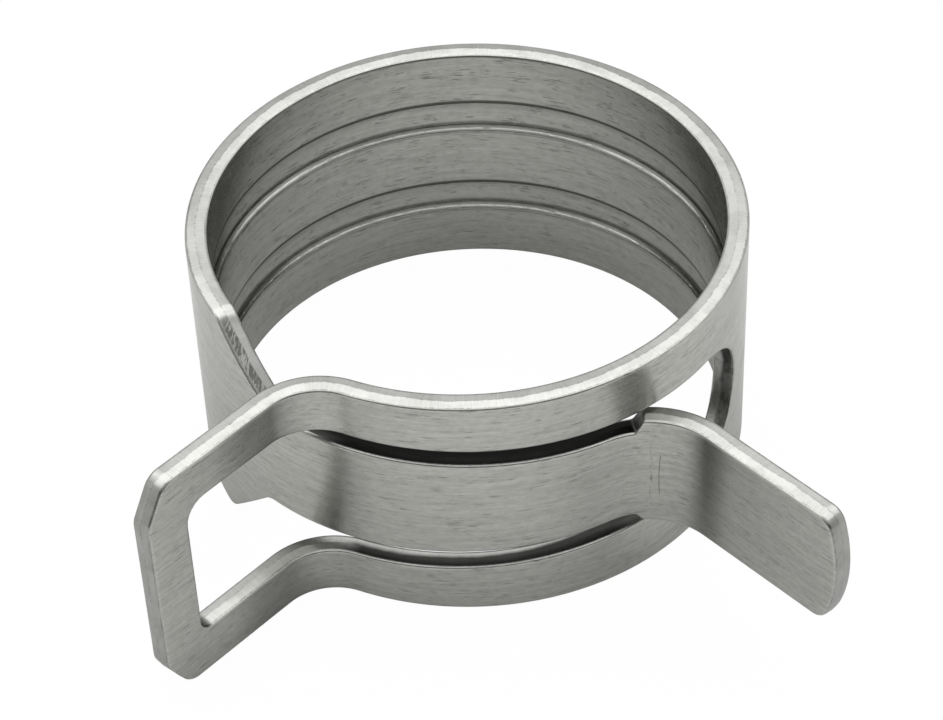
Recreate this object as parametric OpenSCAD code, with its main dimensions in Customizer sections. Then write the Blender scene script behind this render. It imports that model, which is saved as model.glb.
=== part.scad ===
// Spring band hose clamp: one strip of flat spring steel, bent to a ring that closes itself.
// The ring's axis is Z and its middle is the origin. One end of the strip is a loop with a
// window, the other a tongue that passes out through that window. Squeezing the two bent-up
// tabs together opens the ring. The strip bends as a chain of stretches, hinged on its outer
// skin at the planes where they meet, so each node here is one stretch of the same strip.
// Azimuths are in degrees from the front (-Y), positive towards +X, seen from above.

/* [Strip] */
// Width of the strip, along the bore
strip_w = 12.2; // [10:0.1:15]
// Thickness of the strip
strip_t = 1; // [0.8:0.1:1.5]
// Size of the break along the long edges
edge_break = 0.1; // [0.05:0.05:0.2]

/* [Ring] */
// Inside diameter of the relaxed ring
bore_d = 23; // [20:0.2:30]

/* [Grooves inside the band] */
// Depth of both grooves
groove_d = 0.25; // [0.1:0.05:0.35]
// Run of each groove's sloped side
groove_side = 0.25; // [0.05:0.05:0.35]
// Middle of the upper groove, above mid-width
upper_groove_z = 2.4; // [2:0.1:3]
// Width of the upper groove
upper_groove_w = 1.75; // [1:0.05:2]
// Middle of the lower groove, below mid-width
lower_groove_z = 2.45; // [2:0.05:3]
// Width of the lower groove
lower_groove_w = 1.7; // [1:0.05:2]
// How far short of the window and of the tongue's taper the grooves end, in degrees
groove_stop = 2.8; // [1:0.5:4]

/* [Window] */
// Height of the rail above the window
upper_rail_w = 2.65; // [2:0.05:3]
// Height of the rail below the window
lower_rail_w = 2.75; // [2:0.05:3]
// Azimuth of the middle of the window's round end, in degrees
window_end_az = 51.5; // [46:0.5:54]

/* [Loop] */
// Height of the loop's upper arm, past its bend
upper_arm_w = 2.25; // [1.8:0.05:2.45]
// Height of the loop's lower arm, past its bend
lower_arm_w = 2.5; // [1.8:0.05:2.5]
// Azimuth at which the arms leave the ring, to the left of the front, in degrees
loop_az = 26; // [20:1:28]
// Radius of the arms' bend, on its hollow face
loop_bend_r = 2.6; // [1.8:0.1:3.2]
// Turn of the arms' bend, in degrees
loop_turn = 72; // [60:1:80]
// Length of the flat tab, from the bend to its tip
loop_tab_len = 7.2; // [6:0.2:9]
// Width of the bar across the end of the loop
bridge_w = 2.2; // [1.8:0.05:3]
// Radius of the upper corner at the closed end of the loop's window
upper_corner_r = 1; // [0.3:0.1:1.4]
// Radius of the lower corner at the closed end of the loop's window
lower_corner_r = 0.6; // [0.3:0.1:1.4]
// Length of the slanted corners at the loop's tip, along the tab
tip_cut_len = 1.1; // [0.6:0.1:1.5]
// Height of the slanted corners at the loop's tip
tip_cut_h = 1.9; // [1:0.1:2.2]
// Radius that softens the slanted corners
tip_soft_r = 0.6; // [0.2:0.1:0.8]

/* [Tongue] */
// Gap between the tongue and the upper rail
tongue_upper_gap = 0.65; // [0.4:0.05:1.2]
// Gap between the tongue and the lower rail
tongue_lower_gap = 0.8; // [0.4:0.05:1.2]
// Gap between the tongue's tab and the upper rail
tab_upper_gap = 0.2; // [0.15:0.05:0.6]
// Gap between the tongue's tab and the lower rail
tab_lower_gap = 0.55; // [0.2:0.05:0.9]
// Azimuth, in degrees to the left of the front, at which the upper taper reaches the tongue
root_top_az = 45.4; // [43:0.2:47]
// Length of the taper of the upper edge, along the strip
root_top_len = 3.5; // [2.5:0.1:4]
// Azimuth, in degrees to the left of the front, at which the lower taper reaches the tongue
root_bottom_az = 47.6; // [45:0.2:49]
// Length of the taper of the lower edge, along the strip
root_bottom_len = 3.5; // [2.5:0.1:4]
// Radius that softens the ends of both tapers
root_soft_r = 1; // [0.4:0.1:1.2]

/* [Tongue tab] */
// Azimuth at which the tongue starts to bend outwards, in degrees
tongue_az = 27; // [24:0.5:30]
// Radius of the tongue's bend, on its hollow face
tongue_bend_r = 3.3; // [2.4:0.1:3.6]
// Turn of the tongue's bend, in degrees
tongue_turn = 75.6; // [66:0.6:81]
// Part of the turn that is made before the foot of the tab's shoulder, in degrees
shoulder_turn = 20; // [16:0.5:28]
// How far the shoulder leans along the strip
shoulder_run = 0.35; // [0.1:0.05:0.6]
// Length of the flat tab, from the bend to the middle of its end
tongue_tab_len = 7.5; // [6:0.05:9]
// Radius of the tab's bowed end
tab_end_r = 7.5; // [4:0.1:9]
// Radius at the corners of the tab's end
tab_corner_r = 0.8; // [0.2:0.1:1.5]

/* [Hidden] */
NODES = [
    "band_back", "band_rear_left", "band_left", "tongue_root", "tongue_middle", "tongue_front",
    "tongue_tab", "band_rear_right", "band_right", "window_end", "upper_rail", "lower_rail",
    "upper_rail_end", "lower_rail_end", "upper_arm", "lower_arm", "loop_bridge"
];

r_in = bore_d / 2;
r_out = r_in + strip_t;
half_w = strip_w / 2;
// Edges of the window, of the loop's part of it, and of the tongue and its tab
window_top = half_w - upper_rail_w;
window_bottom = lower_rail_w - half_w;
window_end_r = (window_top - window_bottom) / 2;
loop_top = half_w - upper_arm_w;
loop_bottom = lower_arm_w - half_w;
tongue_top = window_top - tongue_upper_gap;
tongue_bottom = window_bottom + tongue_lower_gap;
tab_top = window_top - tab_upper_gap;
tab_bottom = window_bottom + tab_lower_gap;

// How far a cutting shape reaches past what it cuts
reach = 2;
// How far pieces of one stretch run into each other where they are joined
lap = 0.1;
// Fineness of full circles, and of one rounded corner of an outline
$fn = 96;
corner_steps = 6;
arc_steps = 16;

function degrees_of(length) = length / r_out * 180 / PI;
root_top_start = root_top_az + degrees_of(root_top_len);
root_bottom_start = root_bottom_az + degrees_of(root_bottom_len);
window_apex_az = window_end_az + asin(window_end_r / r_out);
lap_az = degrees_of(lap);
groove_left_az = -max(root_top_start, root_bottom_start) - groove_stop;
groove_right_az = window_apex_az + groove_stop;

// Planes where the stretches meet, the same on both sides. The band's own stretches, whose
// names start with a b, share what lies behind the sides, and the rest have the same pitch.
plane_step = 5;
side_az = ceil(max(-groove_left_az, groove_right_az) / plane_step) * plane_step;
band_stretches = len([for (name = NODES) if (name[0] == "b") name]);
pitch = 2 * (180 - side_az) / band_stretches;
rear_az = side_az + pitch;
back_az = rear_az + pitch;
front_az = side_az - pitch;
nose_az = front_az - pitch;

steel = "#9a9a95";

// ---- outlines ----

function unit(v) = v / norm(v);

// The points of one corner, rounded to radius r
function corner(before, at, after, r) =
    let (
        u = unit(before - at),
        v = unit(after - at),
        half = acos(max(-1, min(1, u * v))) / 2,
        run = min(r / tan(half), norm(before - at) / 2, norm(after - at) / 2),
        radius = run * tan(half),
        centre = at + unit(u + v) * radius / sin(half),
        a = at + u * run - centre,
        b = at + v * run - centre,
        turned = 180 - 2 * half,
        way = sign(a.x * b.y - a.y * b.x)
    )
    [for (i = [0:corner_steps])
        let (t = way * turned * i / corner_steps)
        centre + [a.x * cos(t) - a.y * sin(t), a.x * sin(t) + a.y * cos(t)]];

// An outline of [x, y, radius] corners, with each corner that has a radius rounded
function rounded(corners) =
    let (
        n = len(corners),
        p = [for (c = corners) [c.x, c.y]]
    )
    [for (i = [0:n - 1])
        each (corners[i].z > 0
            ? corner(p[(i + n - 1) % n], p[i], p[(i + 1) % n], corners[i].z)
            : [p[i]])];

// Cross-section between two heights, from an inner radius outwards. The strip's own long
// edges are broken, and edges punched into it are sharp.
function strip_section(inner, low, high) =
    let (outer = inner + strip_t)
    [
        each low == -half_w
            ? [[inner, low + edge_break], [inner + edge_break, low],
               [outer - edge_break, low], [outer, low + edge_break]]
            : [[inner, low], [outer, low]],
        each high == half_w
            ? [[outer, high - edge_break], [outer - edge_break, high],
               [inner + edge_break, high], [inner, high - edge_break]]
            : [[outer, high], [inner, high]]
    ];

// One groove's notch in the inner face, from its upper to its lower edge
function groove_notch(middle, width) = [
    [r_in, middle + width / 2], [r_in + groove_d, middle + width / 2 - groove_side],
    [r_in + groove_d, middle - width / 2 + groove_side], [r_in, middle - width / 2]
];

// The full strip's section with both grooves
function grooved_section() = concat(
    strip_section(r_in, -half_w, half_w),
    groove_notch(upper_groove_z, upper_groove_w),
    groove_notch(-lower_groove_z, lower_groove_w)
);

// ---- building blocks ----

// A stretch of the ring between two azimuths
module sector(from_az, to_az, section)
    rotate([0, 0, from_az - 90])
        rotate_extrude(angle = to_az - from_az)
            polygon(section);

// A stretch of the ring between two azimuths and two heights
module ring(from_az, to_az, low, high)
    sector(from_az, to_az, strip_section(r_in, low, high));

module grooved_band(from_az, to_az) sector(from_az, to_az, grooved_section());

// Extrudes an outline of [across, height] radially outwards at an azimuth
module radial_cut(az)
    rotate([0, 0, az])
        rotate([90, 0, 0])
            linear_extrude(height = r_out + reach)
                children();

// Moves to the centre of a bend that leaves the ring at an azimuth
module at_bend(az, bend_r)
    rotate([0, 0, az])
        translate([0, -r_out - bend_r, 0])
            children();

// Part of a bend: the strip between two turns of it, counted from the ring
module bend(from_turn, to_turn, bend_r, low, high)
    rotate([0, 0, 90 - to_turn])
        rotate_extrude(angle = to_turn - from_turn)
            polygon(strip_section(bend_r, low, high));

// A flat past a bend: the strip between two lengths along it
module flat(from_len, to_len, turn, bend_r, low, high)
    rotate([0, 0, -turn])
        translate([from_len, 0, 0])
            rotate([90, 0, 90])
                linear_extrude(height = to_len - from_len)
                    polygon(strip_section(bend_r, low, high));

// Extrudes an outline of [along, height] through a flat, from front to back
module through_flat(turn, bend_r)
    rotate([0, 0, -turn])
        translate([0, bend_r + strip_t + reach, 0])
            rotate([90, 0, 0])
                linear_extrude(height = strip_t + 2 * reach)
                    children();

// ---- the band ----

module band_back()
    color(steel) grooved_band(back_az, 360 - back_az);

module band_rear_left()
    color(steel) grooved_band(-back_az, -rear_az);

module band_left()
    color(steel) grooved_band(-rear_az, -side_az);

module band_rear_right()
    color(steel) grooved_band(rear_az, back_az);

module band_right()
    color(steel) grooved_band(side_az, rear_az);

// ---- the tongue ----

// Where an azimuth falls across the root's cutting direction
root_mid_az = -(side_az + front_az) / 2;
function root_across(az) = r_out * sin(az - root_mid_az);

// What is cut from one edge of the root: beyond the taper, then beside the tongue
module root_waste(start_az, end_az, edge, tongue_edge) {
    outside = edge > 0 ? half_w + reach : -half_w - reach;
    past = root_across(-front_az) + reach;
    radial_cut(root_mid_az)
        polygon(rounded([
            [root_across(-start_az) - reach, edge, 0],
            [root_across(-start_az), edge, root_soft_r],
            [root_across(-end_az), tongue_edge, root_soft_r],
            [past, tongue_edge, 0],
            [past, outside, 0],
            [root_across(-start_az) - reach, outside, 0]
        ]));
}

module tongue_root()
    color(steel)
        difference() {
            union() {
                grooved_band(-side_az, groove_left_az);
                ring(groove_left_az - lap_az, -front_az, -half_w, half_w);
            }
            root_waste(root_top_start, root_top_az, half_w, tongue_top);
            root_waste(root_bottom_start, root_bottom_az, -half_w, tongue_bottom);
        }

module tongue_middle()
    color(steel) ring(-front_az, -nose_az, tongue_bottom, tongue_top);

module tongue_front()
    color(steel) ring(-nose_az, tongue_az, tongue_bottom, tongue_top);

// Outline of the tongue's flat tab: straight edges, and a bowed end that runs into them
// through round corners
function tab_outline() =
    let (
        middle = (tab_top + tab_bottom) / 2,
        half = (tab_top - tab_bottom) / 2,
        spread = asin((half - tab_corner_r) / (tab_end_r - tab_corner_r)),
        centre = [tongue_tab_len - tab_end_r, middle],
        corner_at = centre + (tab_end_r - tab_corner_r) * [cos(spread), sin(spread)],
        upper_corner = [for (i = [1:corner_steps])
            let (a = spread + (90 - spread) * i / corner_steps)
            corner_at + tab_corner_r * [cos(a), sin(a)]]
    )
    [
        [-lap, tab_bottom],
        for (i = [corner_steps - 1:-1:0]) [upper_corner[i].x, 2 * middle - upper_corner[i].y],
        for (i = [0:arc_steps])
            let (a = spread * (2 * i / arc_steps - 1))
            centre + tab_end_r * [cos(a), sin(a)],
        each upper_corner,
        [-lap, tab_top]
    ];

// Foot of the tab's shoulder, across the front
shoulder_x = (r_out + tongue_bend_r) * sin(tongue_az)
    - tongue_bend_r * sin(tongue_az - shoulder_turn);

// What is cut from one edge of the tab's bend, as far as the leaning shoulder
module shoulder_waste(tongue_edge, tab_edge) {
    outside = tab_edge > 0 ? half_w : -half_w;
    lean = shoulder_run / (tab_edge - tongue_edge);
    rotate([90, 0, 0])
        linear_extrude(height = 2 * r_out)
            polygon([
                [0, tongue_edge], [shoulder_x, tongue_edge],
                [shoulder_x + lean * (outside - tongue_edge), outside], [0, outside]
            ]);
}

module tongue_tab()
    color(steel)
        difference() {
            at_bend(tongue_az, tongue_bend_r) {
                bend(0, tongue_turn, tongue_bend_r, tab_bottom, tab_top);
                intersection() {
                    flat(-lap, tongue_tab_len, tongue_turn, tongue_bend_r, tab_bottom, tab_top);
                    through_flat(tongue_turn, tongue_bend_r) polygon(tab_outline());
                }
            }
            shoulder_waste(tongue_top, tab_top);
            shoulder_waste(tongue_bottom, tab_bottom);
        }

// ---- the window and its rails ----

module window_end()
    color(steel)
        difference() {
            union() {
                ring(front_az, groove_right_az + lap_az, -half_w, half_w);
                grooved_band(groove_right_az, side_az);
            }
            radial_cut(window_end_az)
                translate([0, (window_top + window_bottom) / 2]) {
                    circle(r = window_end_r);
                    translate([-r_out, -window_end_r]) square([r_out, 2 * window_end_r]);
                }
        }

module upper_rail()
    color(steel) ring(nose_az, front_az, window_top, half_w);

module lower_rail()
    color(steel) ring(nose_az, front_az, -half_w, window_bottom);

// ---- the loop ----

module upper_rail_end()
    color(steel) ring(-loop_az, nose_az, window_top, half_w);

module lower_rail_end()
    color(steel) ring(-loop_az, nose_az, -half_w, window_bottom);

loop_window_len = loop_tab_len - bridge_w;
// Where the bend of the arms starts and ends, across the front
bend_start_x = -r_in * sin(loop_az);
bend_end_x = -(r_out + loop_bend_r) * sin(loop_az) - loop_bend_r * sin(loop_turn - loop_az);

// What is cut from an arm's edge on the window: from the rail's edge at one height through
// the bend to the arm's own edge, then to a round corner
module arm_waste(rail_edge, arm_edge, corner_r) {
    rotate([90, 0, 0])
        linear_extrude(height = 2 * r_out)
            polygon([
                [bend_start_x - lap, 0], [bend_start_x - lap, rail_edge],
                [bend_end_x - lap, arm_edge],
                [bend_end_x - reach, arm_edge], [bend_end_x - reach, 0]
            ]);
    mirror([1, 0, 0])
        at_bend(loop_az, loop_bend_r)
            through_flat(loop_turn, loop_bend_r)
                polygon(rounded([
                    [reach / 2, 0, 0], [loop_window_len, 0, 0],
                    [loop_window_len, arm_edge, corner_r], [reach / 2, arm_edge, 0]
                ]));
}

// The bend and the flat of the strip between two heights, as far as the window's closed end
module arm_blank(low, high)
    mirror([1, 0, 0])
        at_bend(loop_az, loop_bend_r) {
            bend(0, loop_turn, loop_bend_r, low, high);
            flat(-lap, loop_window_len, loop_turn, loop_bend_r, low, high);
        }

module upper_arm()
    color(steel)
        difference() {
            arm_blank(window_top, half_w);
            arm_waste(window_top, loop_top, upper_corner_r);
        }

module lower_arm()
    color(steel)
        difference() {
            arm_blank(-half_w, window_bottom);
            arm_waste(window_bottom, loop_bottom, lower_corner_r);
        }

module loop_bridge()
    color(steel)
        mirror([1, 0, 0])
            at_bend(loop_az, loop_bend_r)
                intersection() {
                    flat(loop_window_len, loop_tab_len, loop_turn, loop_bend_r, -half_w, half_w);
                    through_flat(loop_turn, loop_bend_r)
                        polygon(rounded([
                            [loop_window_len - reach, -half_w, 0],
                            [loop_tab_len - tip_cut_len, -half_w, tip_soft_r],
                            [loop_tab_len, tip_cut_h - half_w, tip_soft_r],
                            [loop_tab_len, half_w - tip_cut_h, tip_soft_r],
                            [loop_tab_len - tip_cut_len, half_w, tip_soft_r],
                            [loop_window_len - reach, half_w, 0]
                        ]));
                }

band_back();
band_rear_left();
band_left();
tongue_root();
tongue_middle();
tongue_front();
tongue_tab();
band_rear_right();
band_right();
window_end();
upper_rail();
lower_rail();
upper_rail_end();
lower_rail_end();
upper_arm();
lower_arm();
loop_bridge();
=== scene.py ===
"""Looks of a spring band hose clamp: one strip of flat spring steel, punched flat, given its
two pressed grooves, and bent to a ring with a loop at one end and a tongue at the other."""

from math import asin, cos, pi, radians, sin, tan

import bmesh
import bpy
from bpy.props import FloatProperty, FloatVectorProperty, PointerProperty
from mathutils import Matrix, Vector, noise
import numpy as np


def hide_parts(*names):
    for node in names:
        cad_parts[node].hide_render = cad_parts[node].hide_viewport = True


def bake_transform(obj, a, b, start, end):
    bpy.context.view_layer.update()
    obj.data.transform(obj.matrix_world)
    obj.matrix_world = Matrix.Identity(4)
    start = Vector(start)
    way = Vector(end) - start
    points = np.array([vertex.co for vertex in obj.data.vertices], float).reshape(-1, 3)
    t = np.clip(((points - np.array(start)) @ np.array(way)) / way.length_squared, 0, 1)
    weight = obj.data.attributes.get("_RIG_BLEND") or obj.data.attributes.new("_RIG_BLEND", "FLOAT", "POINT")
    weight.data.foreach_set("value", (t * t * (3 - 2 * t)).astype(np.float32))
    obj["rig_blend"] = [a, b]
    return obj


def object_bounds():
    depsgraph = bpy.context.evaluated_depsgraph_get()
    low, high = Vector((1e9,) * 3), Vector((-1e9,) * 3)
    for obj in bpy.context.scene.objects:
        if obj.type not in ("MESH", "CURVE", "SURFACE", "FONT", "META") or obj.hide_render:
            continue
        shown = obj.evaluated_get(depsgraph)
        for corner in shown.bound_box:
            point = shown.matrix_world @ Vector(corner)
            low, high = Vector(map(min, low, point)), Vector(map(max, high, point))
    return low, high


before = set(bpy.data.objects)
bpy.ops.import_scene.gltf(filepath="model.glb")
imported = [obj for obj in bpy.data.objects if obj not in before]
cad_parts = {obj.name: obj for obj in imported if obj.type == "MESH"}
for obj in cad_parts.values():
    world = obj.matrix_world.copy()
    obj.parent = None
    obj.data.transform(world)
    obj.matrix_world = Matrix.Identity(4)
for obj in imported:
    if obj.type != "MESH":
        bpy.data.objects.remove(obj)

bl_info = {
    "name": "Spring Band Clamp",
    "version": (1, 0, 0),
    "blender": (4, 5, 0),
    "location": "3D View > Sidebar > Band Clamp",
    "description": "Builds a hose clamp bent from one strip of spring steel",
    "category": "Add Mesh",
}

CAD_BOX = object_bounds()
MM = 0.001
BLANK = "strip_blank"
STEEL = "rolled_and_punched_steel"
RIGHT = 1
LEFT = -1
# Millimetres within which a point counts as lying on a cut
NEAR = 0.01
# Degrees from the front, on either side, of the ring's hinges
BACK_HINGE = 159
REAR_HINGE = 117
SIDE_HINGE = 75
FRONT_HINGE = 33
HINGES = (BACK_HINGE, REAR_HINGE, SIDE_HINGE, FRONT_HINGE)
# Degrees from its hinge at which a piece of the ring ends, and within which it bends
PIECE_REACH = 21
BEND_REACH = 18
# Degrees from the front between which the last piece on either side bends with its hinge
LAST_BEND = (10, -25)


# ---- sizes and colours ----


def length(name, description, default):
    """A size in metres"""
    return FloatProperty(
        name=name, description=description, default=default, min=0.0, unit="LENGTH",
        subtype="DISTANCE", precision=5,
    )


def turn(name, description, default):
    """An angle, given here in degrees"""
    return FloatProperty(
        name=name, description=description, default=radians(default), unit="ROTATION",
        subtype="ANGLE",
    )


def tint(name, description, default):
    """A linear colour"""
    return FloatVectorProperty(
        name=name, description=description, default=default, size=3, min=0.0, max=1.0,
        subtype="COLOR",
    )


def share(name, description, default):
    """A plain number"""
    return FloatProperty(name=name, description=description, default=default)


class StripSizes(bpy.types.PropertyGroup):
    width: length("Width", "Width of the strip, along the bore", 0.0122)
    thickness: length("Thickness", "Thickness of the strip", 0.001)
    bore: length("Bore", "Inside diameter of the relaxed ring", 0.023)
    slope: length("Edge slope", "How far each half of a punched edge leans back", 0.000035)
    corner: length("Edge corner", "Radius at which an edge turns into a face", 0.00013)
    wander: length("Ridge wander", "How far an edge's ridge strays from mid-thickness", 0.00008)
    step: length("Step", "Distance between two cross-sections of the mesh", 0.00015)


class GrooveSizes(bpy.types.PropertyGroup):
    depth: length("Depth", "Depth of both grooves", 0.00025)
    side: length("Side", "Run of a groove's sloped side", 0.00025)
    upper_top: length("Upper groove's top", "Height of its upper edge", 0.00326)
    upper_bottom: length("Upper groove's bottom", "Height of its lower edge", 0.00151)
    lower_top: length("Lower groove's top", "Depth below mid-width of its upper edge", 0.00163)
    lower_bottom: length("Lower groove's bottom", "Depth below mid-width of its lower edge", 0.00332)
    right_end: turn("Right end", "Azimuth at which the grooves end, by the window", 70.26)
    left_end: turn("Left end", "Azimuth at which the grooves end, by the taper", 66.14)


class LoopSizes(bpy.types.PropertyGroup):
    window_end: turn("Window's end", "Azimuth of the window's round end", 67.8)
    leaves_ring: turn("Leaves the ring", "Azimuth past the front where the loop bends out", 26)
    bend_radius: length("Bend radius", "Radius of the bend, on its hollow face", 0.0026)
    bend_turn: turn("Bend turn", "Turn of the bend", 72)
    tab: length("Tab", "Length of the flat part, from the bend to the tip", 0.0072)
    bar: length("Bar", "Width of the bar across the loop", 0.00218)
    cut_length: length("Cut length", "Length of the slanted corners at the tip", 0.0011)
    cut_height: length("Cut height", "Height of the slanted corners at the tip", 0.0019)
    cut_corner: length("Cut corner", "Radius that softens the slanted corners", 0.0009)


class TongueSizes(bpy.types.PropertyGroup):
    middle: turn("Middle", "Azimuth at which the tongue's middle heights are given", 33)
    taper_corner: length("Taper corner", "Radius that softens the ends of the tapers", 0.0009)
    leaves_ring: turn("Leaves the ring", "Azimuth past the front where the tab bends out", 27)
    bend_radius: length("Bend radius", "Radius of the bend, on its hollow face", 0.0033)
    bend_turn: turn("Bend turn", "Turn of the bend", 75.6)
    shoulder_turn: turn("Shoulder", "Turn of the bend at the foot of the tab's shoulder", 20)
    shoulder_fillet: length("Shoulder fillet", "Radius at the foot of the shoulder", 0.00015)
    shoulder_run: length("Shoulder run", "How far the shoulder leans along the strip", 0.00037)
    tab: length("Tab", "Length of the flat part, from the bend to its end", 0.0075)
    end_radius: length("End radius", "Radius of the tab's bowed end", 0.0075)
    end_corner: length("End corner", "Radius at the corners of the tab's end", 0.0008)


class UpperEdges(bpy.types.PropertyGroup):
    window: length("Window", "Height of the window's edge at its round end", 0.00328)
    window_at_loop: length("Window at the loop", "Height of its edge where the loop bends", 0.00359)
    arm: length("Arm", "Height of the window's edge past the bend", 0.00387)
    window_corner: length("Window corner", "Corner radius at the window's closed end", 0.001)
    taper_start: turn("Taper's start", "Azimuth where the upper edge drops", 61.4)
    taper_end: turn("Taper's end", "Azimuth where it reaches the tongue", 45.4)
    root: length("Root", "Height of the tongue's edge where the taper ends", 0.00302)
    middle: length("Middle", "Height of the tongue's edge at its middle", 0.00294)
    shoulder: length("Shoulder", "Height of the tongue's edge at the shoulder", 0.00261)
    tab: length("Tab", "Height of the tab's edge", 0.00327)


class LowerEdges(bpy.types.PropertyGroup):
    window: length("Window", "Depth of the window's edge at its round end", 0.00308)
    window_at_loop: length("Window at the loop", "Depth of its edge where the loop bends", 0.00358)
    arm: length("Arm", "Depth of the window's edge past the bend", 0.00358)
    window_corner: length("Window corner", "Corner radius at the window's closed end", 0.00055)
    taper_start: turn("Taper's start", "Azimuth where the lower edge rises", 63.7)
    taper_end: turn("Taper's end", "Azimuth where it reaches the tongue", 47.8)
    root: length("Root", "Depth of the tongue's edge where the taper ends", 0.0028)
    middle: length("Middle", "Depth of the tongue's edge at its middle", 0.00269)
    shoulder: length("Shoulder", "Depth of the tongue's edge at the shoulder", 0.00241)
    tab: length("Tab", "Depth of the tab's edge", 0.00279)


class SteelLook(bpy.types.PropertyGroup):
    face: tint("Faces", "Colour of the rolled faces", (0.46, 0.46, 0.433))
    streak: tint("Streaks", "Colour of the dark streaks in the faces", (0.31, 0.31, 0.29))
    edge: tint("Edges", "Colour of the punched edges", (0.33, 0.33, 0.317))
    # Also the colour towards which the painted shade and painted dark reflections darken
    scratch_and_painted_shade: tint("Scratches", "Colour of shear marks and scratches", (0.07, 0.07, 0.065))
    # Colour of the painted highlight along the grooves' lower walls
    rub_marks_and_painted_highlight: tint("Rubbed lines", "Colour of the bright lines in the grooves", (0.85, 0.85, 0.82))
    # Near-black colour of the painted shade in the gaps beside the tongue
    scale: tint("Scale", "Colour of the dark scale left in the gaps", (0.004, 0.004, 0.0037))
    roughness: share("Roughness", "Roughness of the faces", 0.25)
    edge_roughness: share("Edge roughness", "What the punched edges add to it", 0.06)
    # Painted shade that darkens the ring's inside
    painted_inner_shade: share("Inner shade", "How much darker the ring's inside is", 0.13)
    grazing: share("Grazing", "Brightness of the steel seen at a grazing angle", 0.8)


class StageLook(bpy.types.PropertyGroup):
    floor: tint("Floor", "Colour of the floor", (0.8, 0.8, 0.8))
    seen_floor: share("Seen floor", "How white the floor looks to the camera", 0.98)
    mirrored_floor: share("Mirrored floor", "How white the floor looks in the steel", 0.12)
    lamp_height: length("Lamp height", "Height of the soft overhead light", 0.35)
    lamp_width: length("Lamp width", "Size of the light from side to side", 0.756)
    lamp_depth: length("Lamp depth", "Size of the light from front to back", 0.5)
    lamp_back: length("Lamp's place", "How far behind the ring its middle is", 0.16)
    lamp_strength: share("Lamp strength", "How bright the overhead light looks, white being 1", 2.15)
    surroundings: share("Surroundings", "How bright the world is as a light, white being 1", 0.5)
    front_dim: share("Front dim", "How much dimmer it is low down at the front", 0.85)
    camera_distance: length("Camera distance", "From the ring's middle", 0.1384)
    camera_height: turn("Camera height", "Elevation of the camera", 42.2)
    camera_dip: turn("Camera dip", "How far below the ring's middle the camera aims", 0.849)
    camera_swing: turn("Camera swing", "How far beside the ring's middle it aims", 0.0254)
    camera_roll: turn("Camera roll", "Roll of the camera", 2.4835)
    camera_lens: share("Camera lens", "Focal length in millimetres on a 36 mm sensor", 115.73)


# ---- the strip's path: from here to the bending, everything is in millimetres ----


def mm(value):
    """A length in metres, in millimetres"""
    return value / MM


class Half:
    """Half of the strip, from the back of the ring to the end of its tab"""

    def __init__(self, strip, sizes, side):
        self.side = side
        self.middle = mm(strip.bore + strip.thickness) / 2
        self.bend = mm(sizes.bend_radius + strip.thickness / 2)
        self.bend_start = self.middle * (pi + sizes.leaves_ring)
        self.bend_end = self.bend_start + self.bend * sizes.bend_turn
        self.end = self.bend_end + mm(sizes.tab)

    def at(self, azimuth):
        """Distance along the strip at an azimuth, counted from the front on this half's side"""
        return self.middle * (pi - azimuth)

    def place(self, along, out):
        """Plan position of a point, along the strip and outwards from its middle"""
        turned = min(along, self.bend_start) / self.middle
        x, y = sin(turned), cos(turned)
        if along <= self.bend_start:
            reach = self.middle + out
            return self.side * reach * x, reach * y
        centre = self.middle + self.bend
        past = min(along, self.bend_end) - self.bend_start
        heading = turned - past / self.bend
        reach = self.bend - out
        straight = max(0.0, along - self.bend_end)
        plan_x = centre * x - reach * sin(heading) + straight * cos(heading)
        plan_y = centre * y - reach * cos(heading) - straight * sin(heading)
        return self.side * plan_x, plan_y


def halves(scene):
    """The loop's half on the right, and the tongue's half on the left"""
    strip = scene.clamp_strip
    return Half(strip, scene.clamp_loop, RIGHT), Half(strip, scene.clamp_tongue, LEFT)


# ---- the flat blank ----


def chain(bm, start, centre, angle, steps):
    """Spins a vertex about a centre, and gives the vertices in order"""
    found = [start]
    for _ in range(steps):
        spun = bmesh.ops.spin(
            bm, geom=[found[-1]], cent=centre, axis=(0, 0, 1), dvec=(0, 0, 0),
            angle=angle / steps, steps=1, use_merge=False, use_duplicate=False,
        )
        found.append(next(item for item in spun["geom_last"] if isinstance(item, bmesh.types.BMVert)))
    return found


def soften(bm, vert, radius):
    """Rounds one corner of an outline to a radius, or as far as its two sides allow"""
    one, other = [edge.other_vert(vert).co - vert.co for edge in vert.link_edges if edge.is_boundary]
    run = radius / tan(one.angle(other) / 2)
    most = 0.49
    run = min(run, most * one.length, most * other.length)
    bmesh.ops.bevel(
        bm, geom=[vert], offset=run, offset_type="OFFSET", segments=6, profile=0.5,
        affect="VERTICES", material=-1,
    )


def bowed_end(bm, scene, left):
    """The upper and the lower half of the tab's end, which meet at mid-width of the strip"""
    tongue = scene.clamp_tongue
    corner_steps = 6
    bow_steps = 12
    end_corner = mm(tongue.end_corner)
    reach = mm(tongue.end_radius)
    middle = mm(scene.clamp_upper.tab - scene.clamp_lower.tab) / 2
    half_height = mm(scene.clamp_upper.tab + scene.clamp_lower.tab) / 2
    rise = half_height - end_corner
    spread = asin(rise / (reach - end_corner))
    dip = asin(middle / reach)
    centre = (reach - left.end, middle, 0)
    corner_x = centre[0] - (reach - end_corner) * cos(spread)
    corner_turn = pi / 2 - spread
    start = bm.verts.new((corner_x, middle + half_height, 0.0))
    upper = chain(bm, start, (corner_x, middle + rise, 0), corner_turn, corner_steps)
    upper += chain(bm, upper[-1], centre, spread + dip, bow_steps)[1:]
    lower = chain(bm, upper[-1], centre, spread - dip, bow_steps)
    lower += chain(bm, lower[-1], (corner_x, middle - rise, 0), corner_turn, corner_steps)[1:]
    return upper, lower


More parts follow.
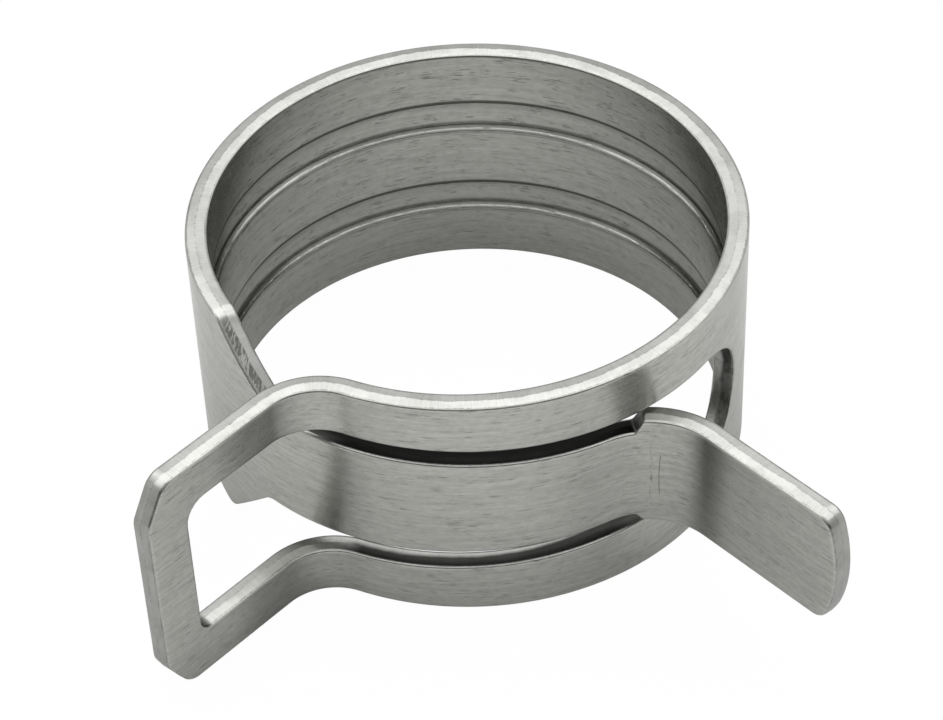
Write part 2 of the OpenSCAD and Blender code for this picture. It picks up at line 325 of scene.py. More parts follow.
def punch_outline(bm, scene):
    """The flat outline: an upper and a lower face that share a line, with the window between"""
    loop = scene.clamp_loop
    tongue = scene.clamp_tongue
    upper_edges = scene.clamp_upper
    lower_edges = scene.clamp_lower
    right, left = halves(scene)
    half_width = mm(scene.clamp_strip.width) / 2
    softened = []

    def corner(x, y):
        return bm.verts.new((x, y, 0.0))

    def rounded(x, y, radius):
        vert = corner(x, y)
        softened.append((vert, mm(radius)))
        return vert

    quarter_steps = 24
    window_radius = mm(upper_edges.window + lower_edges.window) / 2
    window_middle = mm(upper_edges.window - lower_edges.window) / 2
    window_start = right.at(loop.window_end) + window_radius
    round_end = chain(
        bm, corner(window_start, mm(upper_edges.window)), (window_start, window_middle, 0), pi,
        2 * quarter_steps,
    )
    window_stop = right.end - mm(loop.bar)
    stop_middle = corner(window_stop, 0)
    tip_middle = corner(right.end, 0)

    upper_end, lower_end = bowed_end(bm, scene, left)
    shoulder = left.bend_start + left.bend * tongue.shoulder_turn

    def half_outline(up, edges):
        """Corners from the loop's window round the tip and along the edge to the tab"""
        return [
            corner(right.bend_start, up * mm(edges.window_at_loop)),
            corner(right.bend_end, up * mm(edges.arm)),
            rounded(window_stop, up * mm(edges.arm), edges.window_corner),
            stop_middle,
            tip_middle,
            rounded(right.end, up * (half_width - mm(loop.cut_height)), loop.cut_corner),
            rounded(right.end - mm(loop.cut_length), up * half_width, loop.cut_corner),
            rounded(-left.at(edges.taper_start), up * half_width, tongue.taper_corner),
            rounded(-left.at(edges.taper_end), up * mm(edges.root), tongue.taper_corner),
            corner(-left.at(tongue.middle), up * mm(edges.middle)),
            rounded(-shoulder, up * mm(edges.shoulder), tongue.shoulder_fillet),
            corner(-shoulder - mm(tongue.shoulder_run), up * mm(edges.tab)),
        ]

    upper = half_outline(1, upper_edges)
    lower = half_outline(-1, lower_edges)
    bm.faces.new(round_end[quarter_steps::-1] + upper + upper_end)
    bm.faces.new(list(reversed(round_end[quarter_steps:] + lower + list(reversed(lower_end)))))
    for vert, radius in softened:
        soften(bm, vert, radius)
    bmesh.ops.recalc_face_normals(bm, faces=bm.faces)
    if bm.faces[:][0].normal.z < 0:
        bmesh.ops.reverse_faces(bm, faces=bm.faces)


def spread_of(face, axis):
    """Lowest and highest coordinate of a face"""
    found = [vert.co[axis] for vert in face.verts]
    return min(found), max(found)


def cut_across(bm, faces, positions, axis):
    """Cuts faces along straight lines square to an axis, from the lowest position upwards"""
    direction = Vector((0, 0, 0))
    direction[axis] = 1
    waiting = sorted(faces, key=lambda face: spread_of(face, axis)[0], reverse=True)
    active = []
    for position in sorted(positions):
        while waiting and spread_of(waiting[-1], axis)[0] < position - NEAR:
            active.append(waiting.pop())
        active = [face for face in active if spread_of(face, axis)[1] > position + NEAR]
        geometry = set(active)
        for face in active:
            geometry.update(face.edges)
            geometry.update(face.verts)
        cut = bmesh.ops.bisect_plane(
            bm, geom=list(geometry), dist=NEAR, plane_co=direction * position, plane_no=direction
        )
        active = [item for item in cut["geom"] if isinstance(item, bmesh.types.BMFace)]


def stations(scene):
    """Positions of all cross-sections: seams, bends and groove ends, and even steps between"""
    right, left = halves(scene)
    low, high = groove_stretch(scene)
    fixed = [-left.end, -left.bend_end, -left.bend_start, low, 0.0, high]
    fixed += [right.bend_start, right.bend_end, right.end]
    for hinge in HINGES:
        seam = radians(hinge - PIECE_REACH)
        fixed += [-left.at(seam), right.at(seam)]
    fixed.sort()
    found = []
    for start, stop in zip(fixed, fixed[1:]):
        count = max(1, round((stop - start) / mm(scene.clamp_strip.step)))
        found += [start + (stop - start) * index / count for index in range(count)]
    return found[1:]


def groove_stretch(scene):
    """Where the grooves start and end along the strip"""
    grooves = scene.clamp_grooves
    right, left = halves(scene)
    return -left.at(grooves.left_end), right.at(grooves.right_end)


def groove_heights(grooves):
    """Lower and upper height of each groove"""
    return (
        (mm(grooves.upper_bottom), mm(grooves.upper_top)),
        (-mm(grooves.lower_bottom), -mm(grooves.lower_top)),
    )


def within(face, low, high, axis):
    """Whether a face lies between two values of a coordinate"""
    lowest, highest = spread_of(face, axis)
    return low - 2 * NEAR < lowest and highest < high + 2 * NEAR


def mark_grooves(bm, scene):
    """Cuts the outlines of the grooves into the inner face"""
    low, high = groove_stretch(scene)
    inside = -mm(scene.clamp_strip.thickness) / 2
    cut_across(bm, [face for face in bm.faces if within(face, inside, inside, 2)], [low, high], 0)
    inner = [face for face in bm.faces if within(face, inside, inside, 2) and within(face, low, high, 0)]
    heights = [height for pair in groove_heights(scene.clamp_grooves) for height in pair]
    cut_across(bm, inner, heights, 1)


def raise_half(bm, scene):
    """Builds the outer half of the thickness: leaning edge, corner, and face"""
    strip = scene.clamp_strip
    slope = mm(strip.slope)
    corner = mm(strip.corner)
    rise = mm(strip.thickness) / 2 - corner
    inner = list(bm.faces)

    def step_in(thickness, depth):
        bm.normal_update()
        bmesh.ops.inset_region(
            bm, faces=inner, faces_exclude=[], use_boundary=True, use_even_offset=True,
            use_interpolate=False, use_relative_offset=False, use_edge_rail=False,
            thickness=thickness, depth=depth, use_outset=False,
        )

    # The narrow second portion keeps the flank's shading flat up to the corner
    for portion in (0.88, 0.12):
        step_in(slope * portion, rise * portion)
    turns = 4
    for index in range(turns):
        before = pi / 2 * index / turns
        after = pi / 2 * (index + 1) / turns
        step_in(corner * (cos(before) - cos(after)), corner * (sin(after) - sin(before)))
    # A narrow rim does the same for the face
    rim = 0.05
    step_in(rim, 0.0)


def stray(along, height):
    """How the ridge of a punched edge strays from mid-thickness, from about -1 to 1"""
    slow = noise.noise(Vector((along * 0.45, height, 3.7)))
    quick = noise.noise(Vector((along * 2.3, height, 9.1)))
    return slow + 0.5 * quick


def press_grooves(bm, scene):
    """Presses both grooves into the inner face"""
    grooves = scene.clamp_grooves
    inside = -mm(scene.clamp_strip.thickness) / 2
    low, high = groove_stretch(scene)
    depth = mm(grooves.depth)
    side = mm(grooves.side)
    # The sloped side from its rim inwards, as shares of its run and of the groove's depth
    profile = ((0.02, 0.0), (0.15, 0.08), (0.7, 0.84), (0.15, 0.08), (0.1, 0.0))
    for bottom, top in groove_heights(grooves):
        faces = [
            face for face in bm.faces
            if within(face, low, high, 0) and within(face, bottom, top, 1)
            and within(face, inside, inside, 2)
        ]
        bm.normal_update()
        for run, drop in profile:
            bmesh.ops.inset_region(
                bm, faces=faces, faces_exclude=[], use_boundary=True, use_even_offset=True,
                use_interpolate=False, use_relative_offset=False, use_edge_rail=False,
                thickness=run * side, depth=-drop * depth, use_outset=False,
            )


def write_marks(bm, scene):
    """Keeps each point's place on the flat strip, and the ridge, for the steel's grain and marks"""
    half = mm(scene.clamp_strip.thickness) / 2
    low, high = groove_stretch(scene)
    place = bm.verts.layers.float_vector.new("strip_place")
    ridge = bm.verts.layers.float.new("ridge")
    floor = mm(scene.clamp_grooves.depth) - half
    clear_of_edges = 3.5
    level = 1e-4
    for vert in bm.verts:
        x, y, z = vert.co
        in_groove = low < x < high and abs(y) < clear_of_edges and z < floor + NEAR
        vert[place] = (x, y, -half if in_groove else z)
        vert[ridge] = 1.0 if abs(z) < level else 0.0


def sharpen_ridge(bm, wander):
    """Marks the ridge in the middle of the punched edges as a sharp line, and lets it wander"""
    ridge = bm.verts.layers.float["ridge"]
    for edge in bm.edges:
        edge.smooth = not all(vert[ridge] > 0.5 for vert in edge.verts)
    for vert in bm.verts:
        if vert[ridge] > 0.5:
            vert.co.z += wander * stray(vert.co.x, vert.co.y)


def punch_blank(scene):
    """Makes the whole flat strip, in millimetres: along, height, and outwards"""
    bm = bmesh.new()
    punch_outline(bm, scene)
    raise_half(bm, scene)
    everything = bm.verts[:] + bm.edges[:] + bm.faces[:]
    bmesh.ops.mirror(bm, geom=everything, matrix=Matrix.Identity(4), merge_dist=1e-4, axis="Z")
    bmesh.ops.remove_doubles(bm, verts=bm.verts, dist=1e-5)
    bmesh.ops.recalc_face_normals(bm, faces=bm.faces)
    mark_grooves(bm, scene)
    press_grooves(bm, scene)
    cut_across(bm, bm.faces[:], stations(scene), 0)
    write_marks(bm, scene)
    sharpen_ridge(bm, mm(scene.clamp_strip.wander))
    mesh = bpy.data.meshes.new(BLANK)
    bm.to_mesh(mesh)
    bm.free()


# ---- bending ----


def keep_stretch(bm, low, high, axis):
    """Cuts away what lies outside two planes, and closes the cuts with flat sharp-edged caps"""
    direction = Vector((0, 0, 0))
    direction[axis] = 1
    for position, way in ((low, -1), (high, 1)):
        if position is None:
            continue
        bmesh.ops.bisect_plane(
            bm, geom=bm.verts[:] + bm.edges[:] + bm.faces[:], dist=1e-6,
            plane_co=direction * position, plane_no=direction * way, clear_outer=True,
        )
        rim = [edge for edge in bm.edges if edge.is_boundary]
        if rim:
            caps = bmesh.ops.holes_fill(bm, edges=rim, sides=0)
            for edge in rim:
                edge.smooth = False
            for face in caps["faces"]:
                face.smooth = False


def face_outwards(bm):
    """Turns the faces of one closed shape outwards, as bending leaves them inside out"""
    bmesh.ops.recalc_face_normals(bm, faces=bm.faces)
    if bm.calc_volume(signed=True) < 0:
        bmesh.ops.reverse_faces(bm, faces=bm.faces)


def bend_piece(context, name, low, high, nodes, bodies, span, height=(None, None)):
    """Makes one piece of the strip between two distances along it, and bends it to its path. Its
    span is the two azimuths between which it bends from its first body to its second."""
    scene = context.scene
    right, left = halves(scene)
    bm = bmesh.new()
    bm.from_mesh(bpy.data.meshes[BLANK])
    for face in bm.faces:
        face.smooth = True
    keep_stretch(bm, low, high, 0)
    keep_stretch(bm, height[0], height[1], 1)
    for vert in bm.verts:
        along, up, out = vert.co
        half = right if along >= 0 else left
        x, y = half.place(abs(along), out)
        vert.co = Vector((x, y, up)) * MM
    face_outwards(bm)
    mesh = bpy.data.meshes.new(name)
    bm.to_mesh(mesh)
    bm.free()
    mesh.materials.append(spring_steel(scene))
    piece = bpy.data.objects.new(name, mesh)
    scene.collection.objects.link(piece)
    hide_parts(*nodes)
    ends = []
    for azimuth in span:
        half = right if azimuth >= 0 else left
        x, y = half.place(half.at(radians(abs(azimuth))), 0)
        ends.append((x * MM, y * MM, 0))
    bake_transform(piece, bodies[0], bodies[1], start=ends[0], end=ends[1])


def ring_piece(context, name, half, hinge, nodes, bodies, height=(None, None)):
    """Makes the piece of the ring about one hinge, which bends with it"""
    ends = [half.side * half.at(radians(hinge + way * PIECE_REACH)) for way in (1, -1)]
    span = [half.side * (hinge + way * BEND_REACH) for way in (1, -1)]
    bend_piece(context, name, min(ends), max(ends), nodes, bodies, span, height)


def last_piece(context, name, half, nodes, bodies):
    """Makes the last piece of a half, from the ring's front to the end of the tab"""
    start = half.side * half.at(radians(FRONT_HINGE - PIECE_REACH))
    low, high = (start, None) if half.side == RIGHT else (None, start)
    span = [half.side * azimuth for azimuth in LAST_BEND]
    bend_piece(context, name, low, high, nodes, bodies, span)


# ---- steel ----


class Signal:
    """A number that varies over a surface, for use in plain arithmetic"""

    def __init__(self, recipe, socket):
        self.recipe = recipe
        self.socket = socket

    def math(self, operation, *terms):
        """The outcome of one Math node"""
        return self.recipe.node("ShaderNodeMath", {"operation": operation}, dict(enumerate(terms)))

    def __add__(self, other):
        return self.math("ADD", self, other)

    def __radd__(self, other):
        return self.math("ADD", other, self)

    def __sub__(self, other):
        return self.math("SUBTRACT", self, other)

    def __rsub__(self, other):
        return self.math("SUBTRACT", other, self)

    def __mul__(self, other):
        return self.math("MULTIPLY", self, other)

    def __rmul__(self, other):
        return self.math("MULTIPLY", other, self)

    def __abs__(self):
        return self.math("ABSOLUTE", self)

    def ramp(self, low, high):
        """Smoothly from 0 at low to 1 at high"""
        settings = {"interpolation_type": "SMOOTHSTEP"}
        sockets = {"Value": self, "From Min": low, "From Max": high, "To Min": 0.0, "To Max": 1.0}
        return self.recipe.node("ShaderNodeMapRange", settings, sockets)

    def between(self, low, high, soft):
        """1 between two values, falling off softly outside them"""
        return self.ramp(low - soft, low + soft) * (1 - self.ramp(high - soft, high + soft))


class Recipe:
    """Adds nodes to one node tree"""

    def __init__(self, tree):
        self.tree = tree

    def node(self, kind, settings=None, sockets=None, output=0):
        """Adds a node, and gives one of its outputs, or nothing"""
        made = self.tree.nodes.new(kind)
        for name, value in (settings or {}).items():
            setattr(made, name, value)
        for name, value in (sockets or {}).items():
            target = made.inputs[name]
            if isinstance(value, Signal):
                self.tree.links.new(value.socket, target)
            else:
                target.default_value = value
        return None if output is None else Signal(self, made.outputs[output])

    def vector(self, x, y, z):
        """A vector of three numbers"""
        return self.node("ShaderNodeCombineXYZ", None, {"X": x, "Y": y, "Z": z})

    def noise(self, x, y, z, detail=2.0, roughness=0.5):
        """Noise about 0.5, with features about one unit across"""
        sockets = {
            "Vector": self.vector(x, y, z), "Scale": 1.0, "Detail": detail,
            "Roughness": roughness,
        }
        return self.node("ShaderNodeTexNoise", {"noise_dimensions": "3D"}, sockets)

    def mix(self, factor, first, second):
        """Mixes two colours"""
        settings = {"data_type": "RGBA", "blend_type": "MIX"}
        return self.node("ShaderNodeMix", settings, {0: factor, 6: first, 7: second}, output=2)


def colour(value):
    """A colour as a socket takes it"""
    return (*value, 1.0)


def rolled_faces(steel, look, along, height, out):
    """Colour and relief of the rolled faces: streaks, dashes and fine scratches"""
    streaks = steel.noise(along * 0.3, height * 5.5, out * 3.0, detail=4.0, roughness=0.65)
    grain = steel.noise(along * 1.1, height * 22.0, out * 3.0, detail=3.0, roughness=0.6)
    clouds = steel.noise(along * 0.55, height * 0.8, out * 2.0, detail=3.0, roughness=0.55)
    mottles = steel.noise(along * 2.2, height * 3.4, out * 2.0 + 3.0, detail=4.0, roughness=0.7)
    dashes = steel.noise(along * 1.3, height * 21.0, out * 5.0 + 7.0, detail=1.0)
    clusters = steel.noise(along * 0.8, height * 1.3, out * 2.0 + 5.0)
    # Rub marks on the rolled faces, which darken them a little
    rub_marks_and_painted_highlight = steel.noise(along * 9.0 + height * 9.0, along * 0.7 - height * 0.7, out)
    dash = dashes.ramp(0.60, 0.70) * clusters.ramp(0.47, 0.58)
    rub = rub_marks_and_painted_highlight.ramp(0.60, 0.72) * clouds.ramp(0.48, 0.60)
    tone = streaks.ramp(0.35, 0.68) * 0.40 + grain.ramp(0.36, 0.70) * 0.30
    tone = tone + mottles.ramp(0.36, 0.66) * 0.30
    plain = steel.mix(tone, colour(look.face), colour(look.streak))
    marked = steel.mix(dash * 0.42 + rub * 0.14, plain, colour(look.scratch_and_painted_shade))
    relief = grain * 0.0030 + streaks * 0.0035 + mottles * 0.0025 - dash * 0.004
    roughness = 0.10 * (grain - 0.5) + 0.12 * (clouds - 0.5)
    return marked, relief, roughness


def punched_edges(steel, look, along, height, out, ridge):
    """Colour and relief of the punched edges: fine lines across them, and a broken ridge"""
    strikes = steel.noise(along * 15.0, height * 0.7, out * 1.2)
    flecks = steel.noise(along * 5.0, height * 3.0, out * 6.0, detail=4.0, roughness=0.7)
    uneven = steel.noise(along * 0.7, height * 0.9, out * 1.5 + 2.0)
    # Painted dark reflection along the edges' corners, broken up, with a slight dent in the relief
    corner_dent_and_painted_reflection = abs(out).between(0.39, 0.44, 0.02) * flecks.ramp(0.40, 0.62)
    line = ridge.ramp(0.80, 0.98) * flecks.ramp(0.44, 0.62)
    dark = strikes.ramp(0.40, 0.68) * 0.11 + uneven.ramp(0.40, 0.62) * 0.14
    tone = steel.mix(dark + line * 0.35 + corner_dent_and_painted_reflection * 0.45, colour(look.edge), colour(look.scratch_and_painted_shade))
    relief = strikes * 0.0010 + flecks * 0.0016 - corner_dent_and_painted_reflection * 0.004
    return tone, relief


def shear_marks(steel, right, left, along, height, out):
    """Where the edges were torn: along the upper taper, and round the window's end"""
    taper_low, taper_high = -left.at(radians(46)), -left.at(radians(60))
    window_low, window_high = right.at(radians(72)), right.at(radians(50))
    taper = along.between(taper_low, taper_high, 0.25) * height.ramp(2.0, 3.0)
    torn = steel.noise(along * 8.0 + out * 6.0, height * 1.5, out * 2.0, detail=3.0, roughness=0.7)
    torn = torn.ramp(0.42, 0.52) * taper * out.ramp(-0.08, 0.05) * (1 - out.ramp(0.3, 0.42))
    within_window = 1 - abs(height).ramp(3.9, 4.2)
    window = along.between(window_low, window_high, 0.3) * within_window
    wall = steel.noise(along * 2.0, height * 2.0, out * 4.0, detail=4.0, roughness=0.7)
    window = window * (out.ramp(-0.12, 0.02) * 0.6 + wall.ramp(0.45, 0.6) * 0.3)
    return torn * 0.75 + window


def painted_gap_shade_mask(right, left, along, height, out):
    """Painted shade on the edges in the gaps beside the tongue, which turn near-black there"""
    taper_foot = -left.at(radians(46))
    rail_start = right.at(radians(52))
    fade_start, fade_end = right.at(radians(44)), right.at(0)
    tongue = along.between(-left.bend_start - 1.5, taper_foot, 0.3)
    tongue = tongue * height.between(2.4, 3.2, 0.1) * (1 - out.ramp(-0.1, 0.4) * 0.06)
    rail = along.between(rail_start, right.bend_start + 0.6, 0.8)
    rail = rail * height.between(-3.9, -2.8, 0.1)
    near_window_end = 1 - along.ramp(fade_start, fade_end)
    rail = rail * (out + near_window_end * 0.5).ramp(-0.3, 0.02)
    inner = 1 - abs(out).ramp(0.34, 0.42)
    return (tongue + rail * 0.93) * inner


def groove_marks(steel, scene, along, height, out):
    """Painted shade along the rims and floors of the grooves, and a painted highlight on their lower walls
    """
    low, high = groove_stretch(scene)
    inside = along.between(low + 0.2, high - 0.2, 0.2) * (1 - out.ramp(-0.42, -0.36))
    patchy = steel.noise(along * 1.5, height * 9.0, 4.0, detail=3.0, roughness=0.6)
    dark = 0.0
    bright = 0.0
    # Millimetres above or below a groove's upper or lower edge
    for bottom, top in groove_heights(scene.clamp_grooves):
        # Painted shade under the upper rim and on the floor beside it, at the lower wall's foot and below
        # its lip; a painted highlight along the lower wall
        rim = height.between(top - 0.06, top + 0.12, 0.06) * 0.85
        shade = height.ramp(top - 0.7, top - 0.1) * (1 - height.ramp(top - 0.12, top)) * 0.35
        foot = height.between(bottom + 0.17, bottom + 0.42, 0.09) * (0.35 + patchy * 0.6)
        lip = height.between(bottom - 0.12, bottom - 0.04, 0.04) * 0.4
        line = height.between(bottom + 0.09, bottom + 0.12, 0.03) * patchy.ramp(0.3, 0.55)
        dark = dark + (rim + shade + foot + lip) * inside
        bright = bright + line * inside
    return dark, bright


def bend_marks_and_painted_reflection(steel, right, left, along, height, out):
    """Two lines that the bending tool left across the tongue's bend, and a painted dark reflection on the
    hollows just past both bends
    """
    # Millimetres past the start of the bend
    first = -left.bend_start - 2.1
    second = -left.bend_start - 2.5
    broken = steel.noise(along * 9.0, height * 3.0, 0.0, detail=3.0, roughness=0.6)
    dashed = along.between(first - 0.05, first + 0.05, 0.05) * broken.ramp(0.48, 0.62)
    bowed = along + height * height * 0.035
    solid = bowed.between(second - 0.02, second + 0.02, 0.02) * height.between(-1.1, 1.3, 0.2)
    # Painted dark reflection on the hollow faces just past the ends of both bends
    hollow = along.between(-left.bend_end - 0.9, -left.bend_end + 0.7, 0.7) * 0.5
    hollow = hollow + along.between(right.bend_end - 1.2, right.bend_end + 2.6, 1.4) * 0.42
    lines = dashed * height.between(-1.7, 1.9, 0.4) * 0.6 + solid * (0.4 + broken * 0.7)
    return lines + hollow * out.ramp(0.3, 0.4)


def spring_steel(scene):
    """Rolled spring steel: streaked faces, and punched edges with fine lines across them"""
    if STEEL in bpy.data.materials:
        return bpy.data.materials[STEEL]
    look = scene.clamp_steel
    right, left = halves(scene)
    material = bpy.data.materials.new(STEEL)
    material.use_nodes = True
    steel = Recipe(material.node_tree)
    steel.tree.nodes.clear()

    place = steel.node("ShaderNodeAttribute", {"attribute_name": "strip_place"}, output=1)
    along = steel.node("ShaderNodeSeparateXYZ", None, {"Vector": place}, output=0)
    height = steel.node("ShaderNodeSeparateXYZ", None, {"Vector": place}, output=1)
    out = steel.node("ShaderNodeSeparateXYZ", None, {"Vector": place}, output=2)
    ridge = steel.node("ShaderNodeAttribute", {"attribute_name": "ridge"}, output=2)

    skin = mm(scene.clamp_strip.thickness) / 2
    edge = 1 - abs(out).ramp(skin - 0.07, skin - 0.01)
    face = 1 - edge
    face_tone, face_relief, uneven = rolled_faces(steel, look, along, height, out)
    edge_tone, edge_relief = punched_edges(steel, look, along, height, out, ridge)
    tone = steel.mix(edge, face_tone, edge_tone)
    marks = shear_marks(steel, right, left, along, height, out) * edge
    # Painted shade and a painted highlight in the grooves
    dark, bright = groove_marks(steel, scene, along, height, out)
    # Tool lines, painted dark reflections at the bends and painted shade in the grooves darken the faces
    marks = marks + (bend_marks_and_painted_reflection(steel, right, left, along, height, out) + dark) * face
    # Painted shade on the ring's inside
    inside = 1 - out.ramp(-0.2, 0.0)
    shade = inside * face * look.painted_inner_shade
    # Scratches and shear marks, with the painted shade and painted dark reflections, darken towards this
    # colour
    marked = steel.mix(marks + shade, tone, colour(look.scratch_and_painted_shade))
    # Painted highlight along the grooves' lower walls
    marked = steel.mix(bright * face, marked, colour(look.rub_marks_and_painted_highlight))
    # Painted shade: the edges in the gaps beside the tongue turn near-black
    scale = painted_gap_shade_mask(right, left, along, height, out) * edge
    marked = steel.mix(scale, marked, colour(look.scale))
    mark_depth = 0.006
    relief = face_relief * face + edge_relief * edge - marks * mark_depth
    bumped = steel.node(
        "ShaderNodeBump", None, {"Strength": 1.0, "Distance": 0.001, "Height": relief}
    )
    grazing = colour([look.grazing] * 3)
    shader = steel.node(
        "ShaderNodeBsdfPrincipled", None,
        {
            "Base Color": marked, "Metallic": 1.0, "Normal": bumped, "Specular Tint": grazing,
            "Roughness": look.roughness + look.edge_roughness * edge + uneven * face,
        },
    )
    steel.node("ShaderNodeOutputMaterial", None, {"Surface": shader}, output=None)
    return material


# ---- operators ----


class CLAMP_OT_blank(bpy.types.Operator):
    """Punch the flat strip and press its grooves"""

    bl_idname = "clamp.blank"
    bl_label = "Flat Strip"

    def execute(self, context):
        punch_blank(context.scene)
        return {"FINISHED"}


class CLAMP_OT_band(bpy.types.Operator):
    """Bend the full-width band round the back of the ring"""

    bl_idname = "clamp.band"
    bl_label = "Band"

    def execute(self, context):
        for side, half in zip(("right", "left"), halves(context.scene)):
            ring_piece(
                context, "strip_back_" + side, half, BACK_HINGE,
                ["band_back", "band_rear_" + side], ["back", "rear_" + side],
            )
            ring_piece(
                context, "strip_rear_" + side, half, REAR_HINGE,
                ["band_rear_" + side, "band_" + side], ["rear_" + side, side],
            )
        return {"FINISHED"}


class CLAMP_OT_window(bpy.types.Operator):
    """Bend the round end of the window and the two rails beside it"""

    bl_idname = "clamp.window"
    bl_label = "Window and Rails"

    def execute(self, context):
        right = halves(context.scene)[0]
        ring_piece(
            context, "strip_window_end", right, SIDE_HINGE, ["band_right", "window_end"],
            ["right", "window"],
        )
        for rail, height in (("upper_rail", (0, None)), ("lower_rail", (None, 0))):
            ring_piece(
                context, "strip_" + rail, right, FRONT_HINGE, ["window_end", rail],
                ["window", "rails"], height,
            )
        return {"FINISHED"}


class CLAMP_OT_loop(bpy.types.Operator):
    """Bend the loop outwards at the end of the rails"""

    bl_idname = "clamp.loop"
    bl_label = "Loop"

    def execute(self, context):
        right = halves(context.scene)[0]
        nodes = [
            "upper_rail", "lower_rail", "upper_rail_end", "lower_rail_end", "upper_arm", "lower_arm",
            "loop_bridge",
        ]
        last_piece(context, "strip_loop", right, nodes, ["rails", "loop"])
        return {"FINISHED"}


class CLAMP_OT_tongue(bpy.types.Operator):
    """Bend the taper, the tongue and its tab"""

    bl_idname = "clamp.tongue"
    bl_label = "Tongue"

    def execute(self, context):
        left = halves(context.scene)[1]
        ring_piece(
            context, "strip_taper", left, SIDE_HINGE, ["band_left", "tongue_root"],
            ["left", "taper"],
        )
        ring_piece(
            context, "strip_tongue", left, FRONT_HINGE, ["tongue_root", "tongue_middle"],
            ["taper", "tongue"],
        )
        last_piece(
            context, "strip_tongue_tab", left, ["tongue_middle", "tongue_front", "tongue_tab"],
            ["tongue", "tongue_end"],
        )
        return {"FINISHED"}


def ray_kind(recipe, name):
    """1 for rays of one kind, such as those from the camera, and 0 for others"""
    return recipe.node("ShaderNodeLightPath", None, None, output=name)


def plain_floor(scene, look):
    """A pale floor, level with the strip's lower edge, white to the camera"""
    bm = bmesh.new()
    half_side = 2.0
    bmesh.ops.create_grid(bm, x_segments=4, y_segments=4, size=half_side)
    bmesh.ops.translate(bm, verts=bm.verts, vec=(0, 0, CAD_BOX[0].z))
    mesh = bpy.data.meshes.new("floor")
    bm.to_mesh(mesh)
    bm.free()
    floor = bpy.data.objects.new("floor", mesh)
    scene.collection.objects.link(floor)
    material = bpy.data.materials.new("pale_floor")
    material.use_nodes = True
    recipe = Recipe(material.node_tree)
    recipe.tree.nodes.clear()
    paint = recipe.node("ShaderNodeBsdfDiffuse", None, {"Color": colour(look.floor)})
    white = recipe.node("ShaderNodeEmission", None, {"Color": (1, 1, 1, 1), "Strength": 1.0})
    seen = ray_kind(recipe, "Is Camera Ray") * look.seen_floor
    mirrored = ray_kind(recipe, "Is Glossy Ray") * look.mirrored_floor
    share_white = seen + mirrored
    mixed = recipe.node("ShaderNodeMixShader", None, {0: share_white, 1: paint, 2: white})
    recipe.node("ShaderNodeOutputMaterial", None, {"Surface": mixed}, output=None)
    mesh.materials.append(material)


def studio_world(scene, look):
    """White surroundings to the camera and in reflections, dim low down at the front"""
    world = bpy.data.worlds.new("studio")
    world.use_nodes = True
    scene.world = world
    recipe = Recipe(world.node_tree)
    recipe.tree.nodes.clear()
    camera = ray_kind(recipe, "Is Camera Ray")
    glossy = ray_kind(recipe, "Is Glossy Ray")
    clear = ray_kind(recipe, "Is Transmission Ray")
    eye = camera.math("MAXIMUM", camera, glossy.math("MAXIMUM", glossy, clear))
    heading = recipe.node("ShaderNodeTexCoord", output="Generated")
    front = 0 - recipe.node("ShaderNodeSeparateXYZ", None, {"Vector": heading}, output="Y")
    up = recipe.node("ShaderNodeSeparateXYZ", None, {"Vector": heading}, output="Z")
    dim = front.ramp(0.25, 0.75) * (1 - up.ramp(0.45, 0.75)) * look.front_dim
    seen = 1 - (1 - camera) * dim
    strength = look.surroundings + eye * (seen - look.surroundings)
    sockets = {"Color": (1, 1, 1, 1), "Strength": strength}
    background = recipe.node("ShaderNodeBackground", None, sockets)
    recipe.node("ShaderNodeOutputWorld", None, {"Surface": background}, output=None)


def soft_light(scene, look):
    """A wide lamp above the ring and behind it"""
    light = bpy.data.lights.new("overhead_light", "AREA")
    light.shape = "RECTANGLE"
    light.size = look.lamp_width
    light.size_y = look.lamp_depth
    light.energy = look.lamp_strength * pi * light.size * light.size_y
    lamp = bpy.data.objects.new("overhead_light", light)
    lamp.location = (0, look.lamp_back, look.lamp_height)
    scene.collection.objects.link(lamp)


def aimed_camera(scene, look):
    """A camera in front of the ring and above it"""
    optics = bpy.data.cameras.new("camera")
    optics.lens = look.camera_lens
    optics.sensor_width = 36
    optics.sensor_fit = "HORIZONTAL"
    optics.clip_start = 0.005
    optics.clip_end = 10
    camera = bpy.data.objects.new("camera", optics)
    back = Vector((0, -cos(look.camera_height), sin(look.camera_height)))
    turned = Matrix.Rotation(pi / 2 - look.camera_height, 4, "X")
    turned = turned @ Matrix.Rotation(look.camera_swing, 4, "Y")
    turned = turned @ Matrix.Rotation(-look.camera_dip, 4, "X")
    turned = turned @ Matrix.Rotation(-look.camera_roll, 4, "Z")
    camera.matrix_world = Matrix.Translation(back * look.camera_distance) @ turned
    scene.collection.objects.link(camera)
    scene.camera = camera


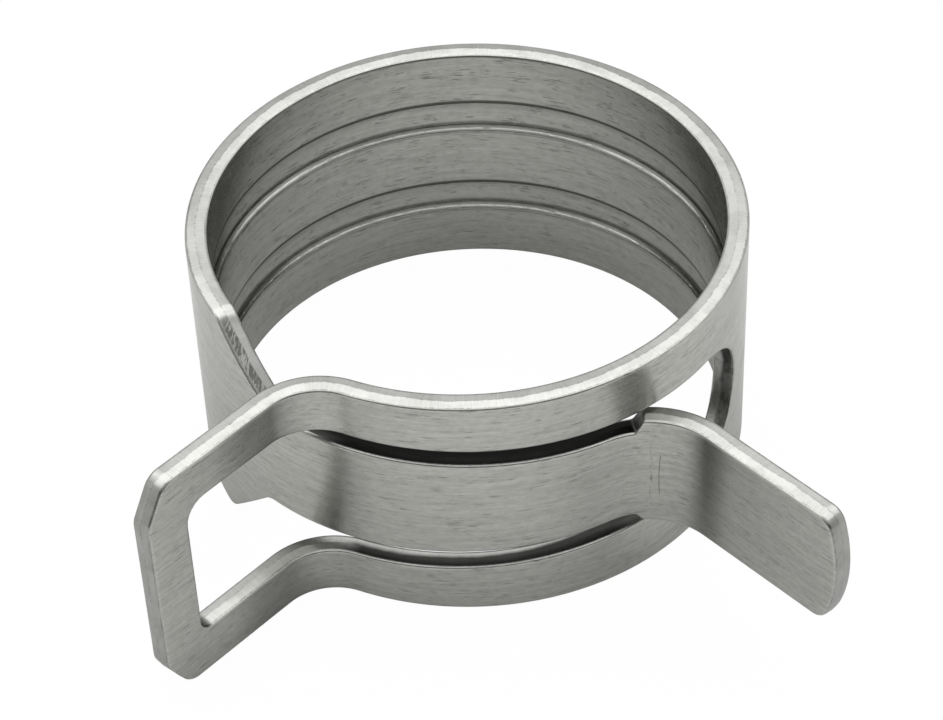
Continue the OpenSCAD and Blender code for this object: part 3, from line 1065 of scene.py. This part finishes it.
class CLAMP_OT_stage(bpy.types.Operator):
    """Set up the floor, the soft light and the camera"""

    bl_idname = "clamp.stage"
    bl_label = "Stage"

    def execute(self, context):
        scene = context.scene
        look = scene.clamp_stage
        scene.view_settings.view_transform = "Standard"
        plain_floor(scene, look)
        studio_world(scene, look)
        soft_light(scene, look)
        aimed_camera(scene, look)
        return {"FINISHED"}


class CLAMP_PT_sidebar(bpy.types.Panel):
    """Lists the steps that build the clamp, and its sizes and colours"""

    bl_idname = "CLAMP_PT_sidebar"
    bl_label = "Band Clamp"
    bl_space_type = "VIEW_3D"
    bl_region_type = "UI"
    bl_category = "Band Clamp"

    def draw(self, context):
        for operator in OPERATORS:
            self.layout.operator(operator.bl_idname)
        for name in GROUPS:
            box = self.layout.box()
            group = getattr(context.scene, name)
            for key in group.__annotations__:
                box.prop(group, key)


OPERATORS = (
    CLAMP_OT_blank, CLAMP_OT_band, CLAMP_OT_window, CLAMP_OT_loop, CLAMP_OT_tongue, CLAMP_OT_stage,
)
GROUPS = {
    "clamp_strip": StripSizes,
    "clamp_grooves": GrooveSizes,
    "clamp_loop": LoopSizes,
    "clamp_tongue": TongueSizes,
    "clamp_upper": UpperEdges,
    "clamp_lower": LowerEdges,
    "clamp_steel": SteelLook,
    "clamp_stage": StageLook,
}


def register():
    """Registers the groups of sizes, the operators and the panel"""
    for name, group in GROUPS.items():
        bpy.utils.register_class(group)
        setattr(bpy.types.Scene, name, PointerProperty(type=group))
    for operator in OPERATORS:
        bpy.utils.register_class(operator)
    bpy.utils.register_class(CLAMP_PT_sidebar)


def unregister():
    """Undoes what register did, the other way round"""
    bpy.utils.unregister_class(CLAMP_PT_sidebar)
    for operator in OPERATORS:
        bpy.utils.unregister_class(operator)
    for name, group in GROUPS.items():
        delattr(bpy.types.Scene, name)
        bpy.utils.unregister_class(group)


def main():
    """Builds the clamp and its stage"""
    register()
    bpy.ops.clamp.blank()
    bpy.ops.clamp.band()
    bpy.ops.clamp.window()
    bpy.ops.clamp.loop()
    bpy.ops.clamp.tongue()
    bpy.ops.clamp.stage()


if __name__ == "__main__":
    main()
